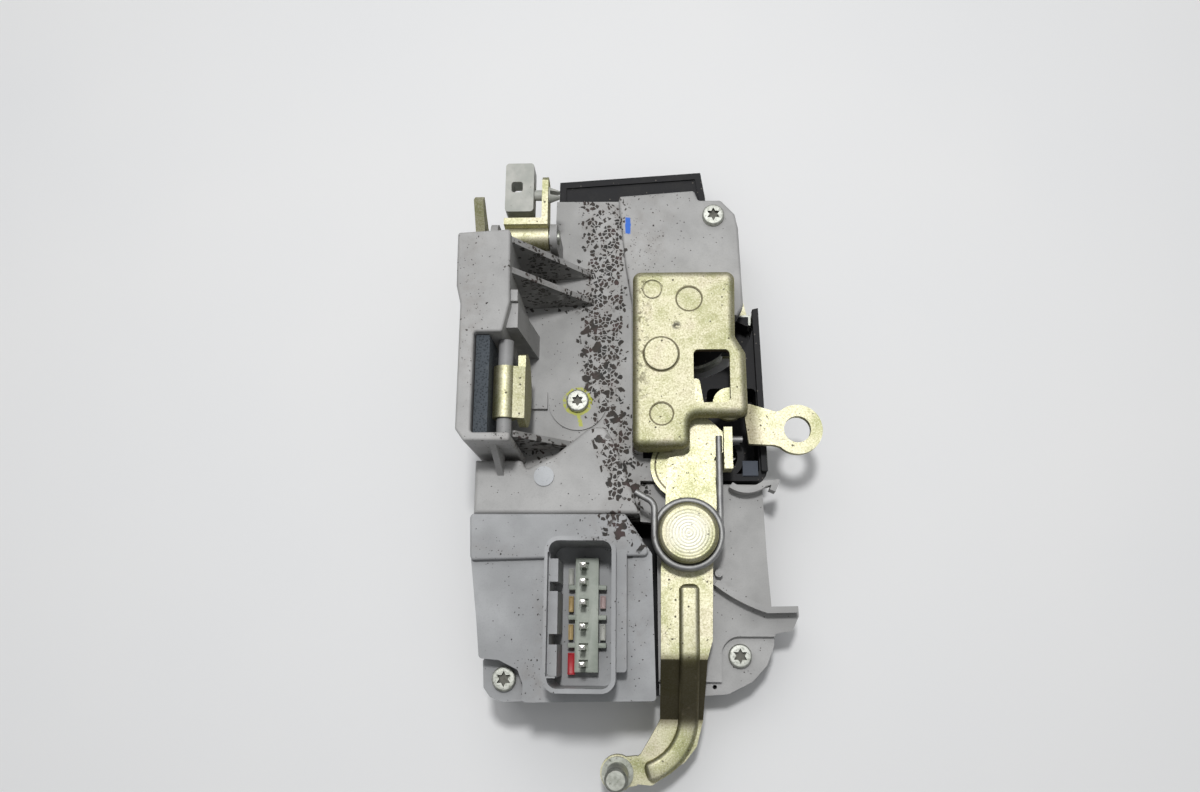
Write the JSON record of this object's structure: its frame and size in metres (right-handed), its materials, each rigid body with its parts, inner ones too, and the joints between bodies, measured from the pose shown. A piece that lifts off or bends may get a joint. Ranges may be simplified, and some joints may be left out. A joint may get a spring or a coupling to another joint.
{
  "type": "car door latch actuator",
  "caption": "Claw-and-pawl car door latch with lock motor housing, plug socket, release lever, key and lock levers.",
  "frame": {"origin": "on the outer face of the striker plate, on the axis of the large middle rivet of the latch cover", "axes": "+Z away from the striker plate, +Y up the door along the housing, +X towards the striker mouth"},
  "size_m": [0.0983, 0.1815, 0.0545],
  "materials": {
    "grey_plastic": "moulded, fine grain",
    "black_plastic": "moulded",
    "zinc_plated_steel": "yellow zinc plate",
    "plain_steel": "bright zinc",
    "rubber": "matt",
    "foam": "open cell foam",
    "white_plastic": "natural",
    "green_plastic": "moulded",
    "brass": "bright",
    "dark_plastic": "moulded"
  },
  "bodies": {
    "housing": {"front_housing": "grey_plastic", "rear_cover": "black_plastic", "motor_cover": "grey_plastic", "claw_housing": "black_plastic", "striker_plate": "zinc_plated_steel", "latch_cover": "zinc_plated_steel", "claw_pin": "zinc_plated_steel", "middle_rivet": "zinc_plated_steel", "pawl_pin": "zinc_plated_steel", "striker_buffer": "rubber", "release_pivot": "zinc_plated_steel", "release_spring": "plain_steel", "terminal_block": "green_plastic", "connector_pins": "brass", "lead_frame": "brass", "key_shaft": "grey_plastic", "foam_seal": "foam", "corner_screws": "plain_steel", "centre_screw": "plain_steel", "locating_plug": "grey_plastic", "lock_motor": "plain_steel", "wheel_pin": "plain_steel", "microswitch": "dark_plastic"},
    "claw": {"claw": "plain_steel", "claw_jacket": "black_plastic"},
    "pawl": {"pawl": "plain_steel"},
    "release_lever": {"release_lever": "zinc_plated_steel", "lever_stud": "plain_steel", "transfer_pin": "plain_steel", "coupling_rivet": "plain_steel"},
    "coupling_lever": {"coupling_lever": "zinc_plated_steel"},
    "inside_release_lever": {"inside_release_lever": "zinc_plated_steel"},
    "key_lever": {"key_lever": "zinc_plated_steel"},
    "lock_lever": {"lock_lever": "zinc_plated_steel", "lock_shaft": "plain_steel", "rod_clip": "white_plastic", "lock_finger": "zinc_plated_steel"},
    "worm_wheel": {"worm_wheel": "white_plastic"},
    "worm": {"worm": "brass"},
    "lock_slider": {"lock_slider": "black_plastic"}
  },
  "joints": [
    {"name": "claw_turn", "type": "hinge", "parent": "housing", "child": "claw", "pos_m": [0.0079, 0.0162, 0.011], "axis": [0, 0, -1], "range_deg": [0, 50], "stiffness_Nm_per_rad": 0.03, "springref_deg": -22.92},
    {"name": "release_turn", "type": "hinge", "parent": "housing", "child": "release_lever", "pos_m": [0.0069, -0.0493, 0.0235], "axis": [0, 0, 1], "range_deg": [0, 8], "stiffness_Nm_per_rad": 0.15, "springref_deg": -14.32, "deforming": ["release_spring"]},
    {"name": "pawl_turn", "type": "hinge", "parent": "housing", "child": "pawl", "pos_m": [0, -0.0169, 0.011], "axis": [0, 0, 1], "range_deg": [0, 16]},
    {"name": "inside_release_turn", "type": "hinge", "parent": "housing", "child": "inside_release_lever", "pos_m": [0, -0.0169, 0.0268], "axis": [0, 0, 1], "range_deg": [0, 12], "stiffness_Nm_per_rad": 0.03, "springref_deg": -17.19},
    {"name": "lock_turn", "type": "hinge", "parent": "housing", "child": "worm_wheel", "pos_m": [-0.0353, -0.0555, 0.015], "axis": [0, 0, 1], "range_deg": [-40, 40]},
    {"name": "worm_spin", "type": "hinge", "parent": "housing", "child": "worm", "pos_m": [-0.0236, -0.056, 0.015], "axis": [0, 1, 0], "continuous": true},
    {"name": "slider_travel", "type": "slide", "parent": "housing", "child": "lock_slider", "axis": [0, 1, 0], "range_m": [-0.0034, 0.0034]},
    {"name": "lock_lever_turn", "type": "hinge", "parent": "housing", "child": "lock_lever", "pos_m": [-0.038, 0.0332, 0.037], "axis": [1, 0, 0], "range_deg": [-12, 12]},
    {"name": "key_turn", "type": "hinge", "parent": "housing", "child": "key_lever", "pos_m": [-0.0414, -0.014, 0.0455], "axis": [0, 1, 0], "range_deg": [-10, 10]},
    {"name": "coupling_turn", "type": "hinge", "parent": "release_lever", "child": "coupling_lever", "pos_m": [0.0063, -0.0295, 0.0214], "axis": [0, 0, 1], "range_deg": [-20, 20]}
  ],
  "couplings": [
    {"joint": "pawl_turn", "follows": "release_turn", "ratio": 2},
    {"joint": "worm_spin", "follows": "lock_turn", "ratio": 24},
    {"joint": "slider_travel", "follows": "lock_turn", "m_per_rad": -0.0048},
    {"joint": "lock_lever_turn", "follows": "lock_turn", "ratio": 0.3},
    {"joint": "key_turn", "follows": "lock_turn", "ratio": 0.25},
    {"joint": "coupling_turn", "follows": "lock_turn", "ratio": 0.5}
  ]
}
